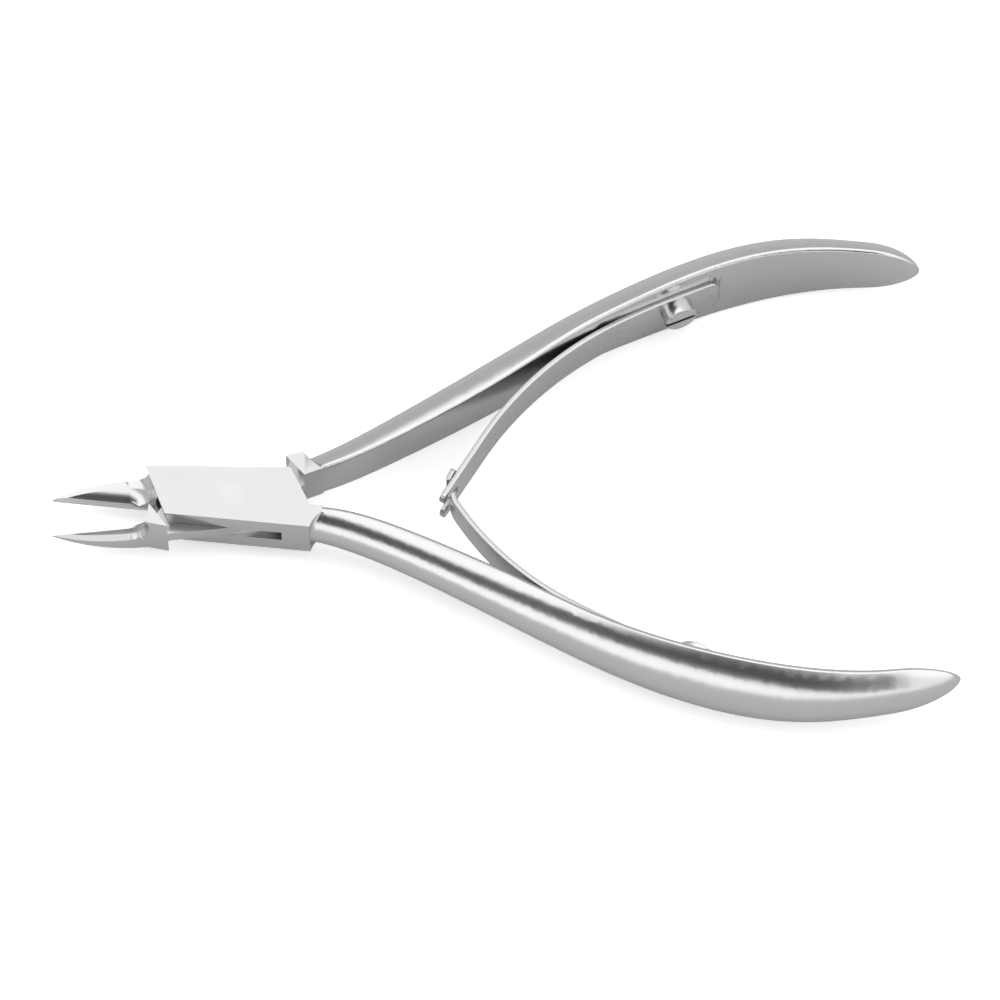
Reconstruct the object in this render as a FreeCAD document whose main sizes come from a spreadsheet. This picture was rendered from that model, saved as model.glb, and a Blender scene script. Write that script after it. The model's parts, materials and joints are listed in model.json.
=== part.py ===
"""Nail nipper with a box joint, slim hollow-ground jaws and a pair of interlocked leaf springs.

Millimetres. Both arms are drawn closed, with the pivot at their origin, the cutting edges on the
X axis towards -X and the handles towards +X, and each is then turned open about the pivot.
"""
import FreeCAD, Part
import math
import os
import Sketcher

doc = FreeCAD.newDocument("NailNipper")
sheet = doc.addObject("Spreadsheet::Sheet", "Sizes")

SIZES = [
    ("pivot_place_x", -34.87, "pivot from the origin, along the nipper"),
    ("pivot_place_y", -4.25, "pivot from the origin, across the nipper"),
    ("jaw_opening", 12.0, "angle between the cutting edges at rest, degrees"),
    ("pin_radius", 1.6, "joint pin"),
    ("pin_clearance", 0.04, "running clearance of the tongue on the pin"),
    # The box, with its corners measured from the pivot.
    ("box_thickness", 6.9, "over both cheeks"),
    ("box_front", 3.7, "front side"),
    ("box_jaw_front", 8.3, "front corner at the jaw end"),
    ("box_jaw_back", 11.65, "back corner at the jaw end"),
    ("box_heel_back", 7.0, "back corner at the handle end"),
    ("box_heel_width", 4.65, "back corner at the handle end, across"),
    ("box_heel_inner", 10.1, "inner corner where the handle begins"),
    ("box_heel_drop", 0.45, "inner corner, across"),
    ("box_heel_front", 10.4, "front corner at the handle end"),
    ("box_scoop_end", 11.75, "end of the cheek on the handle root"),
    ("box_scoop_drop", 1.35, "end of the cheek, across"),
    ("box_scoop_radius", 4.2, "scoop between the cheek and the round handle"),
    # The slot through the box and the tongue in it.
    ("slot_height", 2.0, "between the cheeks"),
    ("slot_heel", 6.75, "slot wall at the front side, handle end"),
    ("slot_heel_rise", 1.3, "where that wall leaves the box"),
    ("slot_jaw", 6.9, "slot wall at the back side, jaw end"),
    ("slot_jaw_drop", 0.4, "where that wall leaves the box"),
    ("tongue_clearance", 0.05, "tongue to each cheek"),
    ("tongue_side", 0.1, "tongue inside the box's sides when closed"),
    ("flank_clearance", 0.15, "tongue to the slot walls"),
    ("shoulder_gap", 0.42, "shoulders to the box when closed"),
    ("shoulder_relief", 0.25, "further gap at the inner end of each shoulder"),
    ("shoulder_length", 3.7, "handle shoulder along the box"),
    ("shoulder_back", 2.3, "back edge of the handle shoulder"),
    ("shoulder_end", 11.9, "end of the handle shoulder"),
    ("shoulder_end_rise", 2.5, "end of the handle shoulder, across"),
    ("shoulder_scoop_radius", 9.0, "scoop between the shoulder and the round handle"),
    ("jaw_shoulder_back", 11.45, "jaw shoulder, outer end of its top face"),
    ("jaw_shoulder_lean", 14.0, "lean of that end, degrees"),
    # The jaws.
    ("jaw_reach", 23.6, "pivot to tip"),
    ("jaw_root_width", 2.95, "width at the box"),
    ("jaw_tip_width", 0.12, "width at the tip"),
    ("jaw_tip_height", 0.35, "height at the tip"),
    ("jaw_root_height", 2.15, "height where the back curves up to the box"),
    ("jaw_curve_radius", 3.2, "curve of the back up to the box"),
    ("hollow_radius", 3.5, "hollow grinding"),
    ("hollow_set", 1.2, "axis of the grinding, across the closed edges"),
    ("hollow_rise", 3.87, "axis of the grinding above the underside"),
    ("hollow_end", 13.75, "centre of the grinding's round end"),
    ("bevel_width", 0.4, "bevel of the cutting edge"),
    ("bevel_height", 0.76, "height of that bevel"),
    # The handles: stations along X, then the inner side's place, height and depth at each.
    ("handle_edge", 0.5, "edge radius of the handles"),
    ("handle_crown", 0.15, "crown of the inner side"),
    ("root_x", 12.9, "station at the root"),
    ("neck_x", 27.0, "station at the neck"),
    ("waist_x", 40.0, "station at the waist"),
    ("belly_x", 50.0, "station at the belly"),
    ("crest_x", 70.0, "station at the crest"),
    ("heel_x", 84.0, "station at the heel"),
    ("root_height", 6.8, "handle height at the root"),
    ("neck_height", 7.35, "handle height at the neck"),
    ("waist_height", 8.75, "handle height at the waist"),
    ("belly_height", 10.2, "handle height at the belly"),
    ("seat_height", 11.75, "handle height at the screw"),
    ("crest_height", 12.2, "handle height at the crest"),
    ("heel_height", 9.9, "handle height at the heel"),
    ("root_depth", 3.5, "handle depth at the root"),
    ("neck_depth", 4.4, "handle depth at the neck"),
    ("waist_depth", 4.6, "handle depth at the waist"),
    ("belly_depth", 4.5, "handle depth at the belly"),
    ("seat_depth", 4.75, "handle depth at the screw"),
    ("crest_depth", 4.75, "handle depth at the crest"),
    ("heel_depth", 3.9, "handle depth at the heel"),
    ("upper_start_x", 9.6, "start of the upper handle inside its shoulder"),
    ("upper_start_y", 1.9, "inner side there"),
    ("upper_start_depth", 3.2, "handle depth there"),
    ("upper_root_y", 2.6, "upper handle's inner side at the root"),
    ("upper_neck_y", 8.13, "at the neck"),
    ("upper_waist_y", 14.65, "at the waist"),
    ("upper_belly_y", 19.7, "at the belly"),
    ("upper_seat_x", 60.1, "station at the upper screw"),
    ("upper_seat_y", 23.36, "inner side there"),
    ("upper_seat_slope", 17.6, "slope there, degrees"),
    ("upper_crest_y", 25.9, "at the crest"),
    ("upper_heel_y", 26.15, "at the heel"),
    ("upper_tip_length", 8.6, "round end of the upper handle"),
    ("upper_tip_slope", -8.4, "slope of that end, degrees"),
    ("lower_start_x", 9.2, "start of the lower handle inside the box"),
    ("lower_start_y", -0.55, "inner side there"),
    ("lower_start_depth", 2.9, "handle depth there"),
    ("lower_root_y", -0.35, "lower handle's inner side at the root"),
    ("lower_neck_y", -3.9, "at the neck"),
    ("lower_waist_y", -9.16, "at the waist"),
    ("lower_belly_y", -13.37, "at the belly"),
    ("lower_seat_x", 60.9, "station at the lower screw"),
    ("lower_seat_y", -16.48, "inner side there"),
    ("lower_seat_slope", -12.3, "slope there, degrees"),
    ("lower_crest_y", -17.85, "at the crest"),
    ("lower_heel_y", -17.15, "at the heel"),
    ("lower_tip_length", 11.5, "round end of the lower handle"),
    ("lower_tip_slope", 13.3, "slope of that end, degrees"),
    # The leaf springs and their screws.
    ("leaf_thickness", 0.7, "spring steel strip"),
    ("leaf_width", 6.1, "at the screw"),
    ("leaf_corner", 1.3, "round corners at the screw end"),
    ("leaf_tail", 6.0, "strip beyond the screw"),
    ("leaf_flat", 2.5, "straight strip from the screw towards the jaws"),
    ("leaf_kink_radius", 14.0, "short bend off the seat, both leaves"),
    ("fork_kink_turn", 3.0, "its turn on the forked leaf, degrees"),
    ("fork_bend_radius", 195.0, "forked leaf, bend along the handle"),
    ("fork_bend_turn", 1.4, "its turn, degrees"),
    ("fork_curl_radius", 46.5, "forked leaf, bend towards the middle"),
    ("fork_curl_turn", 31.2, "its turn, degrees"),
    ("fork_end_length", 10.75, "straight end with the fork"),
    ("fork_end_taper", 0.4, "narrower over the prongs than at the screw"),
    ("fork_slot_width", 2.0, "between the prongs"),
    ("fork_slot_length", 3.85, "length of the prongs"),
    ("hook_kink_turn", 5.8, "turn of the short bend on the hooked leaf, degrees"),
    ("hook_bend_radius", 120.0, "hooked leaf, bend along the handle"),
    ("hook_bend_turn", 6.2, "its turn, degrees"),
    ("hook_curl_radius", 42.5, "hooked leaf, bend towards the middle"),
    ("hook_curl_turn", 28.6, "its turn, degrees"),
    ("hook_lip_radius", 5.0, "hooked leaf, bend of its hook"),
    ("hook_lip_turn", 18.0, "its turn, degrees"),
    ("hook_end_length", 2.9, "straight end with the hook"),
    ("hook_end_taper", 1.4, "narrower at that end and over its lugs than at the screw"),
    ("hook_neck_width", 1.6, "neck through the fork"),
    ("hook_neck_length", 2.06, "length of the neck"),
    ("hook_head_length", 0.8, "lugs along the strip"),
    ("screw_head_radius", 2.2, "screw head"),
    ("screw_head_height", 1.65, "screw head"),
    ("screw_edge", 0.2, "chamfer of the head"),
    ("screw_slot_width", 0.6, "driver slot"),
    ("screw_slot_depth", 0.7, "driver slot"),
    ("screw_radius", 1.0, "screw shank"),
    ("screw_grip", 2.8, "shank in the handle"),
    ("screw_clearance", 0.15, "leaf hole around the shank"),
    ("seat_sink", 0.15, "seat of the leaf below the handle's inner side"),
    ("seat_margin", 0.35, "recess around the leaf"),
    ("seat_run", 8.0, "recess beyond the leaf's flat, towards the jaws"),
]
for row, (alias, amount, note) in enumerate(SIZES, start=1):
    sheet.set(f"A{row}", alias)
    sheet.set(f"B{row}", str(amount))
    sheet.set(f"C{row}", note)
    sheet.setAlias(f"B{row}", alias)
doc.recompute()


class Size:
    """A length or an angle that carries its value and the spreadsheet formula behind it."""

    def __init__(self, value, formula):
        self.value = value
        self.formula = formula

    @staticmethod
    def of(other):
        if isinstance(other, Size):
            return other
        return Size(float(other), repr(float(other)))

    def join(self, other, sign, value):
        return Size(value, f"({self.formula} {sign} {Size.of(other).formula})")

    def __add__(self, other):
        return self.join(other, "+", self.value + Size.of(other).value)

    def __sub__(self, other):
        return self.join(other, "-", self.value - Size.of(other).value)

    def __mul__(self, other):
        return self.join(other, "*", self.value * Size.of(other).value)

    def __truediv__(self, other):
        return self.join(other, "/", self.value / Size.of(other).value)

    def __radd__(self, other):
        return Size.of(other) + self

    def __rsub__(self, other):
        return Size.of(other) - self

    def __rmul__(self, other):
        return Size.of(other) * self

    def __neg__(self):
        return self * -1


def size(alias):
    return Size(float(sheet.get(alias)), f"Sizes.{alias}")


def sine(angle):
    return Size(math.sin(math.radians(angle.value)), f"sin({angle.formula})")


def cosine(angle):
    return Size(math.cos(math.radians(angle.value)), f"cos({angle.formula})")


def root(amount):
    return Size(math.sqrt(amount.value), f"sqrt({amount.formula})")


def slope_angle(rise, run):
    """The angle of a line that climbs by rise over run, in degrees; run is positive."""
    tangent = rise / run
    return Size(math.degrees(math.atan(tangent.value)), f"(atan({tangent.formula}) / 1 deg)")


def turned(point, angle):
    """A point turned about the origin."""
    x, y = point
    return (x * cosine(angle) - y * sine(angle), x * sine(angle) + y * cosine(angle))


def shifted(point, along, across, direction):
    """A point moved along a direction, an angle, and across it to the left."""
    dx, dy = turned((along, across), direction)
    return (point[0] + dx, point[1] + dy)


def bind(target, name, amount):
    target.setExpression(name, amount.formula)


def new_body(label):
    body = doc.addObject("PartDesign::Body", label)
    body.Label = label
    return body


def new_sketch(body, name, plane, place=None, axis=(0, 0, 1), turn=None):
    """A sketch on one of the body's origin planes, moved by place and turned about axis."""
    sketch = body.newObject("Sketcher::SketchObject", name)
    support = [f for f in body.Origin.OriginFeatures if f.Role == plane][0]
    sketch.AttachmentSupport = [(support, "")]
    sketch.MapMode = "FlatFace"
    if place is None:
        return sketch
    spot = FreeCAD.Vector(*[p.value for p in place])
    angle = turn.value if turn else 0.0
    sketch.AttachmentOffset = FreeCAD.Placement(spot, FreeCAD.Rotation(FreeCAD.Vector(*axis), angle))
    for letter, amount in zip("xyz", place):
        bind(sketch, f"AttachmentOffset.Base.{letter}", amount)
    if turn:
        bind(sketch, "AttachmentOffset.Rotation.Angle", turn)
    return sketch


def constrain(sketch, constraint, amount):
    index = sketch.addConstraint(constraint)
    bind(sketch, f"Constraints[{index}]", amount)


def arc_between(start, end, radius):
    """The short arc from start to end; a positive radius turns left, a negative one right."""
    chord = end - start
    half = chord.Length / 2
    across = FreeCAD.Vector(-chord.y, chord.x, 0) / chord.Length
    reach = math.sqrt(max(radius * radius - half * half, 0.0))
    centre = (start + end) / 2 + across * (reach if radius > 0 else -reach)
    first, last = (start, end) if radius > 0 else (end, start)
    angles = [math.atan2(p.y - centre.y, p.x - centre.x) for p in (first, last)]
    circle = Part.Circle(centre, FreeCAD.Vector(0, 0, 1), abs(radius))
    return Part.ArcOfCircle(circle, angles[0], angles[1])


def draw_outline(sketch, corners):
    """A closed outline. A corner is (x, y), or (x, y, radius) where an arc leads to the next one."""
    points = [FreeCAD.Vector(c[0].value, c[1].value, 0) for c in corners]
    ends = []
    for i, corner in enumerate(corners):
        start, end = points[i], points[(i + 1) % len(points)]
        if len(corner) == 3:
            index = sketch.addGeometry(arc_between(start, end, corner[2].value))
            forward = corner[2].value > 0
            ends.append((index, 1 if forward else 2, 2 if forward else 1))
            span = corner[2] if forward else -corner[2]
            constrain(sketch, Sketcher.Constraint("Radius", index, span.value), span)
        else:
            index = sketch.addGeometry(Part.LineSegment(start, end))
            ends.append((index, 1, 2))
    for i, corner in enumerate(corners):
        this, last = ends[i], ends[i - 1]
        sketch.addConstraint(Sketcher.Constraint("Coincident", last[0], last[2], this[0], this[1]))
        for kind, amount in zip(("DistanceX", "DistanceY"), corner[:2]):
            rule = Sketcher.Constraint(kind, -1, 1, this[0], this[1], amount.value)
            constrain(sketch, rule, amount)
    return sketch


def draw_circle(sketch, radius):
    index = sketch.addGeometry(Part.Circle(FreeCAD.Vector(), FreeCAD.Vector(0, 0, 1), radius.value))
    sketch.addConstraint(Sketcher.Constraint("Coincident", index, 3, -1, 1))
    constrain(sketch, Sketcher.Constraint("Radius", index, radius.value), radius)
    return sketch


def volume(body):
    return body.Shape.Volume if not body.Shape.isNull() else 0.0


def finish_feature(body, feature, adds):
    """Recomputes after a feature and makes sure that it added or removed material."""
    before = volume(body)
    doc.recompute()
    change = volume(body) - before
    if (change > 0) != adds or abs(change) < 1e-4:
        raise RuntimeError(f"{body.Label}: {feature.Name} changed the volume by {change:.4f}")
    return feature


def pad(body, sketch, length):
    """Material on both sides of the sketch, length in all."""
    feature = body.newObject("PartDesign::Pad", f"{sketch.Name}Pad")
    feature.Profile = sketch
    feature.Midplane = True
    bind(feature, "Length", length)
    return finish_feature(body, feature, adds=True)


def pocket(body, sketch, length=None, midplane=True, reverse=False):
    """A cut of the given length, or right through the body."""
    feature = body.newObject("PartDesign::Pocket", f"{sketch.Name}Cut")
    feature.Profile = sketch
    feature.Midplane = midplane
    feature.Reversed = reverse
    if length is None:
        feature.Type = "ThroughAll"
    else:
        bind(feature, "Length", length)
    return finish_feature(body, feature, adds=False)


def place(body, spot, angle):
    """Sets a body at spot, turned about Z."""
    for letter, amount in zip("xyz", spot):
        bind(body, f"Placement.Base.{letter}", amount)
    body.Placement = FreeCAD.Placement(FreeCAD.Vector(), FreeCAD.Rotation(FreeCAD.Vector(0, 0, 1), 1))
    bind(body, "Placement.Rotation.Angle", angle)


ZERO = Size(0.0, "0.0")
HALF_OPEN = size("jaw_opening") / 2
HALF_BOX = size("box_thickness") / 2
TALLEST = (size("crest_height") + 0.04) / 2
PIVOT = (size("pivot_place_x"), size("pivot_place_y"), TALLEST)
STATIONS = ("root", "neck", "waist", "belly", "seat", "crest", "heel")

# The corners of the box in plan. The jaw end and the handle end, the heel, slope alike.
BOX_JAW_BACK = (-size("box_jaw_back"), size("jaw_root_width"))
BOX_JAW_FRONT = (-size("box_jaw_front"), -size("box_front"))
BOX_HEEL_BACK = (size("box_heel_back"), size("box_heel_width"))
BOX_HEEL_INNER = (size("box_heel_inner"), -size("box_heel_drop"))


def at_height(first, second, y):
    """The point at height y on the line through two points."""
    share = (y - first[1]) / (second[1] - first[1])
    return (first[0] + (second[0] - first[0]) * share, y)


def outside(corner, first, second, gap):
    """A corner moved square to the line from first to second, to its left, by a gap."""
    dx, dy = second[0] - first[0], second[1] - first[1]
    length = root(dx * dx + dy * dy)
    return (corner[0] - dy / length * gap, corner[1] + dx / length * gap)


def handle_section(body, name, spot, slope, height, depth, side, scale):
    """A handle's section: crowned inner side, round outer side, small round edges.

    The five arcs are tangent to each other, so their radii follow from height, depth, edge and crown.
    side is 1 for the upper handle and -1 for the lower one, whose outer side looks the other way.
    """
    edge = size("handle_edge") * scale
    crown = size("handle_crown") * scale
    inset = crown + edge
    lift = height / 2 - edge
    reach = depth - inset
    inner = (inset * inset + lift * lift - edge * edge) / (crown * 2)
    outer = (reach * reach + lift * lift - edge * edge) / ((reach - edge) * 2)
    inner_x = inner - (inner - inset) * inner / (inner - edge)
    inner_y = lift * inner / (inner - edge)
    centre = depth - outer
    outer_x = centre + (inset - centre) * outer / (outer - edge)
    outer_y = lift * outer / (outer - edge)
    sketch = new_sketch(body, name, "YZ_Plane", (spot[1], ZERO, spot[0]), (0, 1, 0), slope)
    draw_outline(sketch, [
        (inner_x * side, -inner_y, inner * -side),
        (inner_x * side, inner_y, edge * -side),
        (outer_x * side, outer_y, outer * -side),
        (depth * side, ZERO, outer * -side),
        (outer_x * side, -outer_y, edge * -side),
    ])
    return sketch


def handle(body, word, side):
    """A handle lofted from its start inside the arm to its round end."""
    spots = [(size(f"{word}_start_x"), size(f"{word}_start_y"))]
    for station in STATIONS:
        along = size(f"{word}_seat_x") if station == "seat" else size(f"{station}_x")
        spots.append((along, size(f"{word}_{station}_y")))
    heights = [size("root_height") - 0.1] + [size(f"{s}_height") for s in STATIONS]
    depths = [size(f"{word}_start_depth")] + [size(f"{s}_depth") for s in STATIONS]
    sketches = []
    for i, spot in enumerate(spots):
        before, after = spots[max(i - 1, 0)], spots[min(i + 1, len(spots) - 1)]
        slope = slope_angle(after[1] - before[1], after[0] - before[0])
        if STATIONS[i - 1] == "seat":
            slope = size(f"{word}_seat_slope")
        name = f"{word}_section_{i}"
        sketches.append(handle_section(body, name, spot, slope, heights[i], depths[i], side, 1))
    slope = size(f"{word}_tip_slope")
    for i, share in enumerate((0.45, 0.75, 0.93, 0.995)):
        narrowing = (1 - share * share) ** 0.6
        along = size(f"{word}_tip_length") * share
        inward = size("heel_depth") * (0.12 * (1 - narrowing) * side)
        spot = shifted(spots[-1], along, inward, slope)
        height, depth = size("heel_height") * narrowing, size("heel_depth") * narrowing
        name = f"{word}_end_{i}"
        sketches.append(handle_section(body, name, spot, slope, height, depth, side, narrowing))
    loft = body.newObject("PartDesign::AdditiveLoft", f"{word}_handle_loft")
    loft.Profile = sketches[0]
    loft.Sections = sketches[1:]
    return finish_feature(body, loft, adds=True)


def jaw_outline(side, root_x):
    """The curved outer side of a jaw, from its root to its tip; it starts level with the edge."""
    width = size("jaw_root_width") - size("jaw_tip_width")
    length = size("jaw_reach") - root_x
    radius = (length * length + width * width) / (width * 2)
    return [
        (-root_x, size("jaw_root_width") * side, radius * side),
        (-size("jaw_reach"), size("jaw_tip_width") * side),
    ]


def grind_jaw(body, side, corner, lean):
    """Cuts the back of a jaw, its hollow and the bevel of its cutting edge.

    corner is where the back meets the full thickness, and lean the angle of that line from Y.
    """
    under = -HALF_BOX
    curve = size("jaw_curve_radius")
    tip = size("jaw_reach") - size("box_jaw_back")
    rise = size("jaw_root_height") - size("jaw_tip_height")
    clear = 2
    back = new_sketch(body, "JawBack", "XZ_Plane", (corner[0], ZERO, -corner[1]), (0, 1, 0), lean)
    low = under + size("jaw_tip_height") - rise / tip * clear
    draw_outline(back, [
        (ZERO, HALF_BOX + clear),
        (-tip - clear, HALF_BOX + clear),
        (-tip - clear, low),
        (-curve * 0.8, under + size("jaw_root_height"), curve),
        (ZERO, HALF_BOX),
    ])
    pocket(body, back)
    place_x = (ZERO, under + size("hollow_rise"), size("hollow_set") * side)
    hollow = new_sketch(body, "JawHollow", "XZ_Plane", place_x)
    end = -size("hollow_end")
    radius = size("hollow_radius")
    draw_outline(hollow, [
        (-size("jaw_reach") - clear, ZERO),
        (end + radius, ZERO, radius),
        (end, radius),
        (-size("jaw_reach") - clear, radius),
    ])
    groove = body.newObject("PartDesign::Groove", "JawHollowCut")
    groove.Profile = hollow
    groove.ReferenceAxis = (hollow, ["H_Axis"])
    groove.Angle = 360
    finish_feature(body, groove, adds=False)
    bevel = new_sketch(body, "EdgeBevel", "YZ_Plane", (ZERO, ZERO, -size("jaw_reach") - clear))
    over = size("bevel_width") / size("bevel_height")
    draw_outline(bevel, [
        (over * -side, under - 1),
        (size("bevel_width") * side, under + size("bevel_height")),
        (over * -side, under + size("bevel_height")),
    ])
    length = size("jaw_reach") + clear - at_height(BOX_JAW_BACK, BOX_JAW_FRONT, ZERO)[0] * -1
    pocket(body, bevel, length - 0.05, midplane=False, reverse=True)


def seat_frame(word, side):
    """The place and slope of a leaf's seat, sunk a little into its handle's station at the screw."""
    slope = size(f"{word}_seat_slope")
    station = (size(f"{word}_seat_x"), size(f"{word}_seat_y"))
    return shifted(station, ZERO, size("seat_sink") * side, slope), slope


def leaf_bends(kind):
    """The bends of a leaf from its flat root to its end, each as a radius and a turn."""
    words = ("bend", "curl", "lip") if kind == "hook" else ("bend", "curl")
    first = (size("leaf_kink_radius"), size(f"{kind}_kink_turn"))
    return [first] + [(size(f"{kind}_{w}_radius"), size(f"{kind}_{w}_turn")) for w in words]


def leaf_side(kind, side, offset, end_length):
    """One side of a leaf's strip, from its flat root to its end, as corners with bend radii.

    The strip runs towards -X from the screw and bends inwards, away from its handle. offset is
    measured from the leaf's back, inwards.
    """
    x, y, heading = -size("leaf_flat"), offset * -side, ZERO
    corners = []
    for bend, turn in leaf_bends(kind):
        radius = bend - offset
        corners.append((x, y, radius * side))
        before, heading = heading, heading + turn
        x = x - radius * (sine(heading) - sine(before))
        y = y - radius * (cosine(before) - cosine(heading)) * side
    corners.append((x, y))
    corners.append((x - end_length * cosine(heading), y - end_length * sine(heading) * side))
    return corners


def leaf_turn(kind):
    """How far a leaf's end is turned from its seat."""
    total = ZERO
    for _, turn in leaf_bends(kind):
        total = total + turn
    return total


def reversed_side(corners):
    """The same corners walked the other way, with each bend kept on its own stretch."""
    points = [c[:2] for c in corners]
    bends = [c[2] if len(c) == 3 else None for c in corners]
    walked = []
    for i in range(len(points) - 1, -1, -1):
        bend = bends[i - 1] if i else None
        walked.append((*points[i], -bend) if bend else points[i])
    return walked


def seat_and_hole(body, word, kind, side):
    """The recess that the leaf lies in, and the blind hole for its screw."""
    spot, slope = seat_frame(word, side)
    over_spot = (spot[0], ZERO, -spot[1])
    margin = size("seat_margin")
    half = size("leaf_width") / 2 + margin
    corner = size("leaf_corner") + margin
    tail = size("leaf_tail") + margin
    kink = size(f"{kind}_kink_turn")
    lift_off = -size("leaf_flat") - size("leaf_kink_radius") * (sine(kink) / (cosine(kink) + 1))
    recess = new_sketch(body, "SpringSeat", "XZ_Plane", over_spot, (0, 1, 0), slope)
    draw_outline(recess, [
        (lift_off, half),
        (lift_off, -half),
        (tail - corner, -half, corner),
        (tail, corner - half),
        (tail, half - corner, corner),
        (tail - corner, half),
    ])
    pocket(body, recess, size("leaf_thickness") * 3, midplane=False, reverse=side > 0)
    way_out = new_sketch(body, "SpringWayOut", "XY_Plane", (*spot, ZERO), (0, 0, 1), slope)
    front = lift_off - size("seat_run")
    floor = size("seat_run") * (sine(kink) / cosine(kink)) * -side
    inward = size("leaf_thickness") * (-3 * side)
    draw_outline(way_out, [(lift_off, ZERO), (front, floor), (front, inward), (lift_off, inward)])
    pocket(body, way_out, half * 2)
    hole = new_sketch(body, "ScrewHole", "XZ_Plane", over_spot, (0, 1, 0), slope)
    draw_circle(hole, size("screw_radius"))
    pocket(body, hole, size("screw_grip") + 0.3, midplane=False, reverse=side < 0)


def box_arm():
    """The arm with the upper jaw, the box and the lower handle."""
    body = new_body("box_arm")
    plan = new_sketch(body, "BoxPlan", "XY_Plane")
    draw_outline(plan, [
        (-size("jaw_reach"), ZERO),
        at_height(BOX_JAW_BACK, BOX_JAW_FRONT, ZERO),
        BOX_JAW_FRONT,
        (size("box_heel_front"), -size("box_front"), -size("box_scoop_radius")),
        (size("box_scoop_end"), -size("box_scoop_drop")),
        (size("box_scoop_end"), -size("box_heel_drop")),
        BOX_HEEL_INNER,
        BOX_HEEL_BACK,
        *jaw_outline(1, size("box_jaw_back")),
    ])
    pad(body, plan, size("box_thickness"))
    lean = slope_angle(BOX_JAW_FRONT[0] - BOX_JAW_BACK[0], BOX_JAW_BACK[1] - BOX_JAW_FRONT[1])
    grind_jaw(body, 1, BOX_JAW_BACK, lean)
    handle(body, "lower", -1)
    slot = new_sketch(body, "BoxSlot", "XY_Plane")
    draw_outline(slot, slot_outline())
    pocket(body, slot, size("slot_height"))
    bore = new_sketch(body, "PinBore", "XY_Plane")
    draw_circle(bore, size("pin_radius"))
    pocket(body, bore)
    seat_and_hole(body, "lower", "hook", -1)
    place(body, PIVOT, -HALF_OPEN)
    return body


def slot_walls():
    """The two end walls of the slot, each as its two points on the box's sides."""
    back_y = at_height_x(BOX_JAW_BACK, BOX_HEEL_BACK, -size("slot_jaw"))
    heel = (
        (size("slot_heel"), -size("box_front")),
        at_height(BOX_HEEL_BACK, BOX_HEEL_INNER, size("slot_heel_rise")),
    )
    jaw = (
        (-size("slot_jaw"), back_y),
        at_height(BOX_JAW_BACK, BOX_JAW_FRONT, -size("slot_jaw_drop")),
    )
    return heel, jaw


def at_height_x(first, second, x):
    """The height at x of the line through two points."""
    share = (x - first[0]) / (second[0] - first[0])
    return first[1] + (second[1] - first[1]) * share


def beyond(first, second, share):
    """The point that share times their distance further on from first to second reaches."""
    dx, dy = second[0] - first[0], second[1] - first[1]
    return (first[0] + dx * share, first[1] + dy * share)


def slot_outline():
    """The slot in plan: its two walls, run out past the sides of the box."""
    heel, jaw = slot_walls()
    return [
        beyond(heel[1], heel[0], 1.3),
        beyond(heel[0], heel[1], 1.8),
        beyond(jaw[1], jaw[0], 1.5),
        beyond(jaw[0], jaw[1], 1.4),
        (-size("box_jaw_back"), -size("box_front") - 2),
    ]


def tongue_outline():
    """The tongue in plan: inside the slot's walls and, when closed, inside the box's sides."""
    heel, jaw = slot_walls()
    side, gap = size("tongue_side"), size("flank_clearance")
    front = -size("box_front") + side
    heel_front = outside(heel[0], heel[0], heel[1], gap)
    heel_exit = outside(heel[1], heel[0], heel[1], gap)
    jaw_back = outside(jaw[0], jaw[0], jaw[1], gap)
    jaw_exit = outside(jaw[1], jaw[0], jaw[1], gap)
    shoulder = shoulder_corners()
    jaw_shoulder = jaw_shoulder_corners()
    back_right = outside(BOX_HEEL_BACK, BOX_HEEL_BACK, BOX_JAW_BACK, side)
    back_left = outside((-size("slot_jaw"), jaw[0][1]), BOX_HEEL_BACK, BOX_JAW_BACK, side)
    return [
        (jaw_shoulder[1][0] - 0.4, jaw_shoulder[1][1] + 0.1),
        (jaw_shoulder[1][0] + 0.6, front),
        (heel_front[0], front),
        heel_exit,
        (shoulder[1][0] + 0.5, shoulder[1][1] + 0.3),
        (shoulder[0][0] + 0.9, shoulder[0][1] - 0.2),
        (shoulder[0][0], back_right[1]),
        (jaw_back[0], back_left[1]),
        beyond(jaw_back, jaw_exit, 1.15),
    ]


def shoulder_corners():
    """The handle shoulder's two corners beside the box, the back one first."""
    gap, relief = size("shoulder_gap"), size("shoulder_relief")
    dx = BOX_HEEL_INNER[0] - BOX_HEEL_BACK[0]
    dy = BOX_HEEL_INNER[1] - BOX_HEEL_BACK[1]
    share = size("shoulder_length") / root(dx * dx + dy * dy)
    inner = beyond(BOX_HEEL_BACK, BOX_HEEL_INNER, share)
    return (
        outside(BOX_HEEL_BACK, BOX_HEEL_BACK, BOX_HEEL_INNER, gap),
        outside(inner, BOX_HEEL_BACK, BOX_HEEL_INNER, gap + relief),
    )


def jaw_shoulder_corners():
    """The jaw shoulder's two corners beside the box, the inner one first."""
    gap, relief = size("shoulder_gap"), size("shoulder_relief")
    inner = at_height(BOX_JAW_BACK, BOX_JAW_FRONT, ZERO)
    front = at_height(BOX_JAW_BACK, BOX_JAW_FRONT, -size("box_front") + size("tongue_side"))
    first = outside(inner, BOX_JAW_FRONT, BOX_JAW_BACK, gap + relief)
    second = outside(front, BOX_JAW_FRONT, BOX_JAW_BACK, gap)
    return at_height(first, second, ZERO), second


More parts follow.
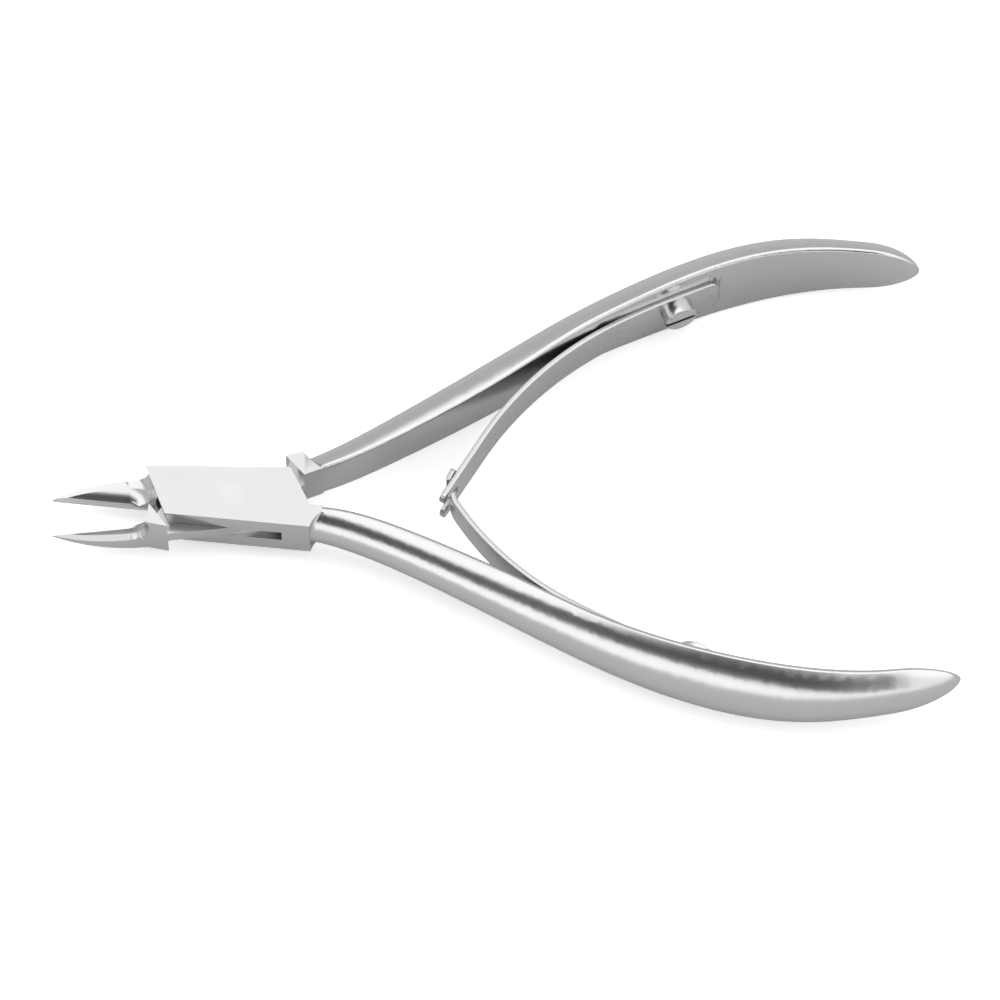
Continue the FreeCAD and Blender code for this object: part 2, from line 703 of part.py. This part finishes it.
def tongue_arm():
    """The arm with the lower jaw, the tongue through the box and the upper handle."""
    body = new_body("tongue_arm")
    tongue = new_sketch(body, "TonguePlan", "XY_Plane")
    draw_outline(tongue, tongue_outline())
    pad(body, tongue, size("slot_height") - size("tongue_clearance") * 2)
    inner, front = jaw_shoulder_corners()
    jaw = new_sketch(body, "JawPlan", "XY_Plane")
    root_x = size("jaw_shoulder_back")
    draw_outline(jaw, [
        (-size("jaw_reach"), ZERO),
        inner,
        front,
        *jaw_outline(-1, root_x),
    ])
    pad(body, jaw, size("box_thickness"))
    grind_jaw(body, -1, (-root_x, -size("jaw_root_width")), -size("jaw_shoulder_lean"))
    back, inner_corner = shoulder_corners()
    shoulder = new_sketch(body, "ShoulderPlan", "XY_Plane")
    draw_outline(shoulder, [
        back,
        inner_corner,
        (size("shoulder_end"), size("shoulder_end_rise"), -size("shoulder_scoop_radius")),
        (back[0] + size("shoulder_back"), back[1] + 0.35),
    ])
    pad(body, shoulder, size("box_thickness"))
    handle(body, "upper", 1)
    bore = new_sketch(body, "TongueBore", "XY_Plane")
    draw_circle(bore, size("pin_radius") + size("pin_clearance"))
    pocket(body, bore)
    seat_and_hole(body, "upper", "fork", 1)
    place(body, PIVOT, HALF_OPEN)
    return body


def on_arm(spot, angle):
    """A point of an arm, where it lies once the arm is turned and on its pivot."""
    x, y = turned(spot, angle)
    return (PIVOT[0] + x, PIVOT[1] + y, PIVOT[2])


def leaf(label, word, kind, side, outline_end):
    """A leaf spring: a bent strip, drilled for its screw and cut to its outline."""
    body = new_body(label)
    strip = new_sketch(body, "Strip", "XY_Plane")
    end_length = size(f"{kind}_end_length")
    back = leaf_side(kind, side, ZERO, end_length)
    front = leaf_side(kind, side, size("leaf_thickness"), end_length)
    tail = size("leaf_tail")
    draw_outline(strip, [
        (tail, ZERO),
        *back,
        *reversed_side(front),
        (tail, size("leaf_thickness") * -side),
    ])
    pad(body, strip, size("leaf_width"))
    outline_end(body, back[-1], side)
    corners = new_sketch(body, "TailCorners", "XZ_Plane")
    half, corner = size("leaf_width") / 2, size("leaf_corner")
    for sign in (1, -1):
        draw_outline(corners, [
            (tail - corner, half * sign, corner * -sign),
            (tail, (half - corner) * sign),
            (tail + corner, (half - corner) * sign),
            (tail + corner, (half + corner) * sign),
            (tail - corner, (half + corner) * sign),
        ])
    pocket(body, corners)
    hole = new_sketch(body, "LeafHole", "XZ_Plane")
    draw_circle(hole, size("screw_radius") + size("screw_clearance"))
    pocket(body, hole, size("leaf_thickness") * 4)
    spot, slope = seat_frame(word, side)
    angle = HALF_OPEN * side
    place(body, on_arm(spot, angle), angle + slope)
    return body


def taper(body, end, width):
    """Trims both long edges of a strip, from its full width at the flat to width at its end."""
    wide, near = size("leaf_width"), -size("leaf_flat")
    cut = new_sketch(body, "Taper", "XZ_Plane")
    for sign in (1, -1):
        draw_outline(cut, [
            (near, wide * (0.5 * sign)),
            (end[0], width * (0.5 * sign)),
            (end[0] - wide, width * (0.5 * sign)),
            (end[0] - wide, wide * sign),
            (near, wide * sign),
        ])
    pocket(body, cut)


def end_sketch(body, name, kind, end, side):
    """A sketch on the straight end of a strip; its X axis runs from that end back to the root."""
    return new_sketch(body, name, "XZ_Plane", (end[0], ZERO, -end[1]), (0, 1, 0), leaf_turn(kind) * side)


def fork_end(body, end, side):
    """Tapers the forked leaf and cuts the slot between its two prongs."""
    taper(body, end, size("leaf_width") - size("fork_end_taper"))
    slot = end_sketch(body, "ForkSlot", "fork", end, side)
    half = size("fork_slot_width") / 2
    corner = half * 0.8
    closed = size("fork_slot_length")
    draw_outline(slot, [
        (-half, -half),
        (closed - corner, -half, corner),
        (closed, corner - half),
        (closed, half - corner, corner),
        (closed - corner, half),
        (-half, half),
    ])
    pocket(body, slot, size("leaf_thickness") * 4)


def hook_end(body, end, side):
    """Tapers the hooked leaf and cuts its neck, which leaves the two lugs of its head."""
    taper(body, end, size("leaf_width") - size("hook_end_taper"))
    sides = end_sketch(body, "HookNeck", "hook", end, side)
    half, wide = size("hook_neck_width") / 2, size("leaf_width")
    lugs = size("hook_head_length")
    shoulder = lugs + size("hook_neck_length")
    for sign in (1, -1):
        draw_outline(sides, [
            (lugs, half * sign),
            (shoulder, half * sign),
            (shoulder, wide * sign),
            (lugs, wide * sign),
        ])
    pocket(body, sides, size("leaf_thickness") * 4)


def screw(label, word, side):
    """A slotted screw that holds a leaf on its handle; its axis is square to the seat."""
    body = new_body(label)
    turning = new_sketch(body, "Turning", "XY_Plane")
    head, edge = size("screw_head_radius"), size("screw_edge")
    under = size("leaf_thickness") * -side
    top = (size("leaf_thickness") + size("screw_head_height")) * -side
    draw_outline(turning, [
        (ZERO, size("screw_grip") * side),
        (size("screw_radius"), size("screw_grip") * side),
        (size("screw_radius"), under),
        (head, under),
        (head, top + edge * side),
        (head - edge, top),
        (ZERO, top),
    ])
    turned_part = body.newObject("PartDesign::Revolution", "Shape")
    turned_part.Profile = turning
    turned_part.ReferenceAxis = (turning, ["V_Axis"])
    turned_part.Angle = 360
    finish_feature(body, turned_part, adds=True)
    slot = new_sketch(body, "DriverSlot", "XY_Plane")
    floor = top + size("screw_slot_depth") * side
    draw_outline(slot, [
        (-head * 1.2, floor),
        (head * 1.2, floor),
        (head * 1.2, top - side),
        (-head * 1.2, top - side),
    ])
    pocket(body, slot, size("screw_slot_width"))
    spot, slope = seat_frame(word, side)
    angle = HALF_OPEN * side
    place(body, on_arm(spot, angle), angle + slope)
    return body


def joint_pin():
    """The pin through both cheeks and the tongue, ground flush with the box."""
    pin = doc.addObject("Part::Cylinder", "joint_pin")
    pin.Label = "joint_pin"
    bind(pin, "Radius", size("pin_radius"))
    bind(pin, "Height", size("box_thickness"))
    for letter, amount in zip("xyz", (PIVOT[0], PIVOT[1], PIVOT[2] - HALF_BOX)):
        bind(pin, f"Placement.Base.{letter}", amount)
    return pin


nodes = [
    box_arm(),
    tongue_arm(),
    joint_pin(),
    leaf("forked_spring_leaf", "upper", "fork", 1, fork_end),
    leaf("hooked_spring_leaf", "lower", "hook", -1, hook_end),
    screw("upper_spring_screw", "upper", 1),
    screw("lower_spring_screw", "lower", -1),
]
doc.recompute()

failed = [o.Name for o in doc.Objects if "Invalid" in o.State or "Error" in o.State]
if failed:
    raise RuntimeError(f"features that failed: {failed}")
os.makedirs("parts", exist_ok=True)
for node in nodes:
    if node.Shape.isNull() or not node.Shape.isValid():
        raise RuntimeError(f"{node.Label} has no valid shape")
    if len(node.Shape.Solids) != 1:
        raise RuntimeError(f"{node.Label} is in {len(node.Shape.Solids)} pieces")
    node.Shape.exportStep(f"parts/{node.Label}.step")
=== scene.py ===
"""Nail nipper with a box joint, shown open on a pale floor."""
import json
import math

import bmesh
import bpy
import numpy as np
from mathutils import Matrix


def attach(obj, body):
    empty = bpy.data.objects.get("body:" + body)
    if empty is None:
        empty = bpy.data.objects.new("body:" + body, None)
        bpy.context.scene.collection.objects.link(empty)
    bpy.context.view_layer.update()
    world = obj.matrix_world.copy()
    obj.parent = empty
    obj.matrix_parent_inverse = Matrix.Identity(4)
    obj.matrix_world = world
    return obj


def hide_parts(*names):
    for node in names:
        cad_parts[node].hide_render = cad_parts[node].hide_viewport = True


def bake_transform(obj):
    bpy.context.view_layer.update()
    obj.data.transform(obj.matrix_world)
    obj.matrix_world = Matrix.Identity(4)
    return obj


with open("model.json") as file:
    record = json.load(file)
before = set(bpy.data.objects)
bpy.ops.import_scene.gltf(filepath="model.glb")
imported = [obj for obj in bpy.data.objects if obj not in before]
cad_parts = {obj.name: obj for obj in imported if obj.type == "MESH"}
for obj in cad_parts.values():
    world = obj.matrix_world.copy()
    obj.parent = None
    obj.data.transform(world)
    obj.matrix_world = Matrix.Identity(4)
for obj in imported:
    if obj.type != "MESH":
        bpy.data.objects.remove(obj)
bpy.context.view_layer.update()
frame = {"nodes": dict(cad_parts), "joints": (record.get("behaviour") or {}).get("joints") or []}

# Box arm: the upper jaw, the two cheeks of the box and the lower handle in one piece.
# Forged stainless steel, ground and satin finished; the cheeks and the cutting edge, polished on
# the nipper, take the same satin steel here.
PIVOT = np.array(frame["joints"][0]["pos_m"])
MM = 0.001
JOIN_REACH, SLIVER_WIDTH = 0.002 * MM, 0.001 * MM
FLAT_ANGLE, SHARP_ANGLE, BROKEN_ANGLE = 0.3, 28.0, 50.0
RIM_REACH, EDGE_BREAK = 1.8 * MM, 0.12 * MM


def weld(node, name):
    """A smooth copy of a solid with its loose triangles joined and its flat faces made whole."""
    mesh = frame["nodes"][node].data.copy()
    mesh.name = name
    work = bmesh.new()
    work.from_mesh(mesh)
    bmesh.ops.remove_doubles(work, verts=work.verts, dist=JOIN_REACH)
    bmesh.ops.dissolve_degenerate(work, edges=work.edges, dist=SLIVER_WIDTH)
    bmesh.ops.dissolve_limit(work, verts=work.verts, edges=work.edges,
                             angle_limit=math.radians(FLAT_ANGLE))
    work.to_mesh(mesh)
    work.free()
    mesh.shade_smooth()
    piece = bpy.data.objects.new(name, mesh)
    bpy.context.scene.collection.objects.link(piece)
    return piece


def break_edges(piece, width):
    """Rounds the sharp edges of a piece as a polishing wheel does, by a bevel of that width.

    The rim around the joint pin, within RIM_REACH of the pivot, stays sharp, because the pin is
    ground flush with the cheek. So do the shallow ridges, where the faces turn by less than
    BROKEN_ANGLE. Edges where they turn by more than SHARP_ANGLE are shaded sharp.
    """
    mesh = piece.data
    mesh.set_sharp_from_angle(angle=math.radians(BROKEN_ANGLE))
    places = np.empty(len(mesh.vertices) * 3)
    mesh.vertices.foreach_get("co", places)
    ends = np.empty(len(mesh.edges) * 2, dtype=int)
    mesh.edges.foreach_get("vertices", ends)
    reach = np.hypot(*(places.reshape(-1, 3)[:, :2] - PIVOT[:2]).T)[ends.reshape(-1, 2)].max(1)
    sharp = np.empty(len(mesh.edges), dtype=bool)
    mesh.edges.foreach_get("use_edge_sharp", sharp)
    mesh.set_sharp_from_angle(angle=math.radians(SHARP_ANGLE))
    weight = mesh.attributes.new("bevel_weight_edge", "FLOAT", "EDGE")
    weight.data.foreach_set("value", (sharp & (reach > RIM_REACH)).astype(float))
    bevel = piece.modifiers.new("broken edges", "BEVEL")
    bevel.width = width
    bevel.segments = 2
    bevel.limit_method = "WEIGHT"
    bevel.harden_normals = True
    even = piece.modifiers.new("even shading", "WEIGHTED_NORMAL")
    even.keep_sharp = True


ROUGHNESS_SPREAD, PATCH_SCALE, GRAIN_HEIGHT = 0.05, 160.0, 0.02 * MM


def steel(name, colour, roughness, grain, stretch, bump, blotch=0.05):
    """Stainless steel: fine grain over soft uneven patches.

    The grain is noise on the piece's own coordinates, stretch times finer across than along X. It
    moves the roughness and the height a little. The patches move the colour by the share blotch.
    """
    material = bpy.data.materials.new(name)
    material.use_nodes = True
    nodes, links = material.node_tree.nodes, material.node_tree.links
    shader = nodes["Principled BSDF"]
    shader.inputs["Metallic"].default_value = 1.0
    place = nodes.new("ShaderNodeTexCoord")
    mapping = nodes.new("ShaderNodeMapping")
    mapping.inputs["Scale"].default_value = (grain / stretch, grain, grain)
    lines = nodes.new("ShaderNodeTexNoise")
    lines.inputs["Scale"].default_value = 1.0
    lines.inputs["Detail"].default_value = 3.0
    lines.inputs["Roughness"].default_value = 0.6
    links.new(place.outputs["Object"], mapping.inputs["Vector"])
    links.new(mapping.outputs["Vector"], lines.inputs["Vector"])
    rough = nodes.new("ShaderNodeMapRange")
    rough.inputs["To Min"].default_value = roughness - ROUGHNESS_SPREAD
    rough.inputs["To Max"].default_value = roughness + ROUGHNESS_SPREAD
    links.new(lines.outputs["Fac"], rough.inputs["Value"])
    links.new(rough.outputs["Result"], shader.inputs["Roughness"])
    patches = nodes.new("ShaderNodeTexNoise")
    patches.inputs["Scale"].default_value = PATCH_SCALE
    patches.inputs["Detail"].default_value = 2.0
    links.new(place.outputs["Object"], patches.inputs["Vector"])
    tint = nodes.new("ShaderNodeMix")
    tint.data_type = "RGBA"
    tint.inputs["A"].default_value = (*[c * (1 - blotch) for c in colour], 1)
    tint.inputs["B"].default_value = (*[min(c * (1 + blotch), 1) for c in colour], 1)
    links.new(patches.outputs["Fac"], tint.inputs["Factor"])
    links.new(tint.outputs["Result"], shader.inputs["Base Color"])
    height = nodes.new("ShaderNodeBump")
    height.inputs["Strength"].default_value = bump
    height.inputs["Distance"].default_value = GRAIN_HEIGHT
    links.new(lines.outputs["Fac"], height.inputs["Height"])
    links.new(height.outputs["Normal"], shader.inputs["Normal"])
    return material


satin_steel = steel("satin steel", (0.60, 0.60, 0.61), 0.25, 16000.0, 10.0, 0.1, 0.03)
box_arm = weld("box_arm", "box_arm_forging")
break_edges(box_arm, EDGE_BREAK)
box_arm.data.materials.clear()
box_arm.data.materials.append(satin_steel)
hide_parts("box_arm")
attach(box_arm, "box_side")

# Tongue arm: the lower jaw, the flat tongue through the box and the upper handle in one piece.
# The same forged and satin finished steel.
tongue_arm = weld("tongue_arm", "tongue_arm_forging")
break_edges(tongue_arm, EDGE_BREAK)
tongue_arm.data.materials.clear()
tongue_arm.data.materials.append(satin_steel)
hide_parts("tongue_arm")
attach(tongue_arm, "tongue_side")

# Joint pin: a plain steel pin pressed through both cheeks and ground flush with them.
# Its end shows only as a faint ring on the polished cheek.
pin_steel = steel("pin steel", (0.61, 0.61, 0.62), 0.24, 9000.0, 10.0, 0.2)
pin = frame["nodes"]["joint_pin"]
pin.data.materials.clear()
pin.data.materials.append(pin_steel)

# Leaf springs: two strips of rolled spring steel, bent inwards, that meet in the middle.
# The forked one's prongs take the neck of the hooked one, whose two lugs hold behind them.
LEAF_THICKNESS = 0.7 * MM
LEAF_HALF, LEAF_CORNER = 3.05 * MM, 1.3 * MM
LEAF_TAIL, LEAF_FLAT = 6.0 * MM, 2.5 * MM
ROLLED_EDGE, LEAF_SHARP_ANGLE = 0.14 * MM, 40.0
PATH_STEP = 0.2 * MM
spring_steel = steel("spring steel", (0.56, 0.56, 0.57), 0.28, 7000.0, 14.0, 0.3)


def arc(radius, degrees):
    """A step of a leaf's path that bends: its length along the arc, and the turn."""
    return radius * math.radians(degrees), math.radians(degrees)


def leaf_path(seat, heading, side, steps):
    """A leaf's back in plan, from its tail beyond the screw to its end, as points and headings.

    The strip runs straight over its seat, then along steps of (length, turn) that each bend it
    further from its handle. Pieces of PATH_STEP at most are added up along the heading at the
    middle of each piece. heading is the way the strip runs at the screw, in degrees. The result
    also holds the length walked at each point.
    """
    steps = [(LEAF_CORNER, 0.0), (LEAF_TAIL + LEAF_FLAT - LEAF_CORNER, 0.0)] + steps
    counts = [max(10, math.ceil(length / PATH_STEP)) for length, _ in steps]
    lengths = np.repeat([length / n for (length, _), n in zip(steps, counts)], counts)
    turns = np.repeat([turn / n for (_, turn), n in zip(steps, counts)], counts)
    middle = math.radians(heading) + side * (np.cumsum(turns) - turns / 2)
    walk = np.stack([np.cos(middle), np.sin(middle)], 1) * lengths[:, None]
    first = np.array([math.cos(math.radians(heading)), math.sin(math.radians(heading))])
    start = np.array(seat) - LEAF_TAIL * first
    points = np.vstack([start, start + np.cumsum(walk, 0)])
    headings = math.radians(heading) + side * np.concatenate([[0.0], np.cumsum(turns)])
    return points, headings, np.concatenate([[0.0], np.cumsum(lengths)])


def strip(points, headings, side, low, high):
    """A bent strip as one closed surface: a rounded rectangle carried along a path.

    The rectangle runs from low to high across the leaf, both given along the path and measured
    from the middle plane of the nipper, and from the path to the leaf's thickness on the inner
    side. Its corners are quarter circles, and each end is closed by a fan on its own middle.
    """
    quarter = np.linspace(0, np.pi / 2, 5)
    cos, sin = ROLLED_EDGE * np.cos(quarter), ROLLED_EDGE * np.sin(quarter)
    near, far = ROLLED_EDGE, LEAF_THICKNESS - ROLLED_EDGE
    depth = np.concatenate([near - cos, far + sin, far + cos, near - sin])
    rise = np.concatenate([sin - near, cos - near, near - sin, near - cos])
    upper = np.repeat([1.0, 0.0], 10)
    z = PIVOT[2] + high[:, None] * upper + low[:, None] * (1 - upper) + rise
    inward = np.stack([-np.sin(headings), np.cos(headings)], 1) * side
    plan = points[:, None, :] + inward[:, None, :] * depth[None, :, None]
    grid = np.concatenate([plan, z[:, :, None]], 2)
    rows, columns = grid.shape[:2]
    index = np.arange(rows * columns).reshape(rows, columns)
    across = np.roll(index, -1, 1)
    quads = np.stack([index[:-1], across[:-1], across[1:], index[1:]], 2).reshape(-1, 4)
    vertices = np.vstack([grid.reshape(-1, 3), grid[[0, -1]].mean(1)])
    start, end = rows * columns, rows * columns + 1
    start_fan = np.stack([np.full(columns, start), across[0], index[0]], 1)
    end_fan = np.stack([np.full(columns, end), index[-1], across[-1]], 1)
    return vertices, [quads, start_fan, end_fan]


def solid(name, parts, material):
    """One object out of (vertices, faces) parts, with its normals made to point outwards."""
    vertices, faces, base = [], [], 0
    for points, groups in parts:
        vertices.append(points)
        for group in groups:
            faces += (group + base).tolist()
        base += len(points)
    mesh = bpy.data.meshes.new(name)
    mesh.from_pydata(np.vstack(vertices).tolist(), [], faces)
    work = bmesh.new()
    work.from_mesh(mesh)
    bmesh.ops.recalc_face_normals(work, faces=work.faces)
    work.to_mesh(mesh)
    work.free()
    mesh.shade_smooth()
    mesh.set_sharp_from_angle(angle=math.radians(LEAF_SHARP_ANGLE))
    mesh.materials.append(material)
    piece = bpy.data.objects.new(name, mesh)
    bpy.context.scene.collection.objects.link(piece)
    return piece


def turn_open(x, y, degrees):
    """A point of an arm drawn closed, in millimetres from the pivot, where it lies open."""
    angle = math.radians(degrees)
    return (PIVOT[0] + (x * math.cos(angle) - y * math.sin(angle)) * MM,
            PIVOT[1] + (x * math.sin(angle) + y * math.cos(angle)) * MM)


def half_width(along, end_half):
    """Half the leaf's width along it: round corners at the tail, then a straight taper."""
    half = np.interp(along, [LEAF_TAIL + LEAF_FLAT, along[-1]], [LEAF_HALF, end_half])
    short = np.clip(1 - along / LEAF_CORNER, 0, 1)
    return half - LEAF_CORNER * (1 - np.sqrt(1 - short**2))


HALF_OPEN = 6.0
FORK_HALF, HOOK_HALF, NECK_HALF = 2.85 * MM, 2.35 * MM, 0.8 * MM
fork_seat = turn_open(60.055, 23.503, HALF_OPEN)
FORK_SLOT, FORK_SLOT_HALF, PRONG_ROUND = 3.55 * MM, 1.0 * MM, 0.5 * MM
points, headings, along = leaf_path(fork_seat, 180 + 17.6 + HALF_OPEN, 1, [
    arc(14.0 * MM, 3.0), arc(195.0 * MM, 1.4), arc(46.5 * MM, 31.2),
    (6.9 * MM, 0.0), (FORK_SLOT, 0.0)])
half = half_width(along, FORK_HALF)
closed_end = along[-1] - FORK_SLOT
shank, prong = along <= closed_end + 1e-7, along >= closed_end - 1e-7
inset = np.clip(1 - (along - closed_end) / FORK_SLOT_HALF, 0, 1)
inside = FORK_SLOT_HALF * np.sqrt(1 - inset**2)
near_tip = np.clip(1 - (along[-1] - along) / PRONG_ROUND, 0, 1)
trim = PRONG_ROUND * (1 - np.sqrt(1 - near_tip**2))
low, high = (inside + trim)[prong], (half - trim)[prong]
forked_leaf = solid("forked_leaf", [
    strip(points[shank], headings[shank], 1, -half[shank], half[shank]),
    strip(points[prong], headings[prong], 1, low, high),
    strip(points[prong], headings[prong], 1, -high, -low),
], spring_steel)
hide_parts("forked_spring_leaf")
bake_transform(forked_leaf)

hook_seat = turn_open(60.868, -16.627, -HALF_OPEN)
HOOK_CURL, HOOK_NECK, LUG_ROUND = arc(1.2 * MM, 40.0), 2.06 * MM, 0.3 * MM
HOOK_HEAD = 1.2 * MM
points, headings, along = leaf_path(hook_seat, 180 - 12.3 - HALF_OPEN, -1, [
    arc(14.0 * MM, 5.8), arc(120.0 * MM, 6.2), arc(42.5 * MM, 28.6), arc(5.0 * MM, 18.0),
    (0.04 * MM, 0.0), (HOOK_NECK, 0.0), HOOK_CURL, (HOOK_HEAD, 0.0)])
half = half_width(along, HOOK_HALF)
head_at = along[-1] - HOOK_HEAD - HOOK_CURL[0]
neck_at = head_at - HOOK_NECK
shank, head = along <= neck_at + 1e-7, along >= head_at - 1e-7
neck = (along >= neck_at - 1e-7) & (along <= head_at + 1e-7)
near_tip = np.clip(1 - (along[-1] - along[head]) / LUG_ROUND, 0, 1)
lugs = half[head] - LUG_ROUND * (1 - np.sqrt(1 - near_tip**2))
narrow = np.full(neck.sum(), NECK_HALF)
hooked_leaf = solid("hooked_leaf", [
    strip(points[shank], headings[shank], -1, -half[shank], half[shank]),
    strip(points[neck], headings[neck], -1, -narrow, narrow),
    strip(points[head], headings[head], -1, -lugs, lugs),
], spring_steel)
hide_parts("hooked_spring_leaf")
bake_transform(hooked_leaf)

# Screws: two slotted cheese-head screws, turned from stainless steel and polished.
# They clamp the leaves on the flat inner sides of the handles.
screw_steel = steel("screw steel", (0.64, 0.64, 0.65), 0.16, 5000.0, 1.0, 0.1)
for node, body_name in (("upper_spring_screw", "tongue_side"), ("lower_spring_screw", "box_side")):
    screw = weld(node, f"{node}_turned")
    break_edges(screw, EDGE_BREAK / 2)
    screw.data.materials.clear()
    screw.data.materials.append(screw_steel)
    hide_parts(node)
    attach(screw, body_name)

# Table: a plain white sheet that the nipper lies on, inside a white tent lit from all round.
# The tent is open towards the photographer, and that dark opening mirrors in the polished steel.
# The camera sees the sheet over-exposed to white, and mirrored in the steel it is greyer.
FLOOR_REACH = 3.0
corners = [(x * FLOOR_REACH, y * FLOOR_REACH, 0) for x, y in ((-1, -1), (1, -1), (1, 1), (-1, 1))]
floor_mesh = bpy.data.meshes.new("floor")
floor_mesh.from_pydata(corners, [], [(0, 1, 2, 3)])
floor = bpy.data.objects.new("floor", floor_mesh)
bpy.context.scene.collection.objects.link(floor)
paper = bpy.data.materials.new("white paper")
paper.use_nodes = True
nodes, links = paper.node_tree.nodes, paper.node_tree.links
sheet = nodes["Principled BSDF"]
sheet.inputs["Base Color"].default_value = (0.9, 0.9, 0.9, 1)
sheet.inputs["Roughness"].default_value = 0.95
sheet.inputs["Specular IOR Level"].default_value = 0.0
sheet.inputs["Emission Color"].default_value = (1, 1, 1, 1)
sheet.inputs["Emission Strength"].default_value = 0.45
greyed = nodes.new("ShaderNodeBsdfDiffuse")
greyed.inputs["Color"].default_value = (0.64, 0.64, 0.64, 1)
seen = nodes.new("ShaderNodeLightPath")
either = nodes.new("ShaderNodeMixShader")
links.new(seen.outputs["Is Camera Ray"], either.inputs["Fac"])
links.new(greyed.outputs["BSDF"], either.inputs[1])
links.new(sheet.outputs["BSDF"], either.inputs[2])
links.new(either.outputs["Shader"], nodes["Material Output"].inputs["Surface"])
floor_mesh.materials.append(paper)


def tent(name, bright, behind, opening):
    """The light of a white tent with one dark opening, by direction.

    An angle is measured from straight up towards the front. The tent is at its brightest overhead
    and in front, and falls to behind times that low at the back. The opening lets in only its own
    small share. Its two edges are 6 degrees further on than OPENING says, and lean by 30 degrees
    for each unit of the direction's X.
    """
    world = bpy.data.worlds.new(name)
    world.use_nodes = True
    nodes, links = world.node_tree.nodes, world.node_tree.links
    place = nodes.new("ShaderNodeTexCoord")
    parts = nodes.new("ShaderNodeSeparateXYZ")
    links.new(place.outputs["Generated"], parts.inputs["Vector"])

    def step(source, start, end, first, last):
        ease = nodes.new("ShaderNodeMapRange")
        ease.interpolation_type = "SMOOTHSTEP"
        for word, amount in zip(("From Min", "From Max", "To Min", "To Max"),
                                (start, end, first, last)):
            ease.inputs[word].default_value = amount
        links.new(source, ease.inputs["Value"])
        return ease.outputs["Result"]

    def combine(operation, *sources):
        node = nodes.new("ShaderNodeMath")
        node.operation = operation
        for i, source in enumerate(sources):
            if isinstance(source, float):
                node.inputs[i].default_value = source
            else:
                links.new(source, node.inputs[i])
        return node.outputs["Value"]

    forward = combine("MULTIPLY", parts.outputs["Y"], -1.0)
    angle = combine("DEGREES", combine("ARCTAN2", forward, parts.outputs["Z"]))
    lean = combine("MULTIPLY_ADD", parts.outputs["X"], -30.0, -6.0)
    leant = combine("ADD", angle, lean)
    low, high, left, right = OPENING
    across = combine("MULTIPLY", step(leant, low - 5.0, low + 5.0, 0.0, 1.0),
                     step(leant, high - 4.0, high + 4.0, 1.0, 0.0))
    beside = combine("MULTIPLY", step(parts.outputs["X"], left - 0.08, left + 0.08, 0.0, 1.0),
                     step(parts.outputs["X"], right - 0.12, right + 0.12, 1.0, 0.3))
    shade = step(combine("MULTIPLY", across, beside), 0.0, 1.0, 1.0, opening)
    level = combine("MULTIPLY", step(angle, -46.0, -22.0, bright * behind, bright), shade)
    nodes["Background"].inputs["Color"].default_value = (1, 1, 1, 1)
    links.new(level, nodes["Background"].inputs["Strength"])
    return world


# The opening's lower and upper edge in degrees, and its left and right edge as the direction's X.
OPENING = (16.0, 63.0, -0.72, 0.36)
bpy.context.scene.view_settings.view_transform = "Standard"
bpy.context.scene.world = tent("tent", 1.66, 0.4, 0.03)

# Camera: a long lens from the front and above, at the photograph's own height.
ELEVATION, DISTANCE = math.radians(62.0), 1.0323
aim = PIVOT + np.array([34.44, 0.92, 0.0]) * MM
camera_data = bpy.data.cameras.new("camera")
camera_data.lens, camera_data.sensor_width = 288.0, 36.0
camera_data.clip_start, camera_data.clip_end = 0.05, 20.0
camera = bpy.data.objects.new("camera", camera_data)
camera.location = aim + DISTANCE * np.array([0, -math.cos(ELEVATION), math.sin(ELEVATION)])
camera.rotation_euler = (math.pi / 2 - ELEVATION, 0, 0)
bpy.context.scene.collection.objects.link(camera)
bpy.context.scene.camera = camera
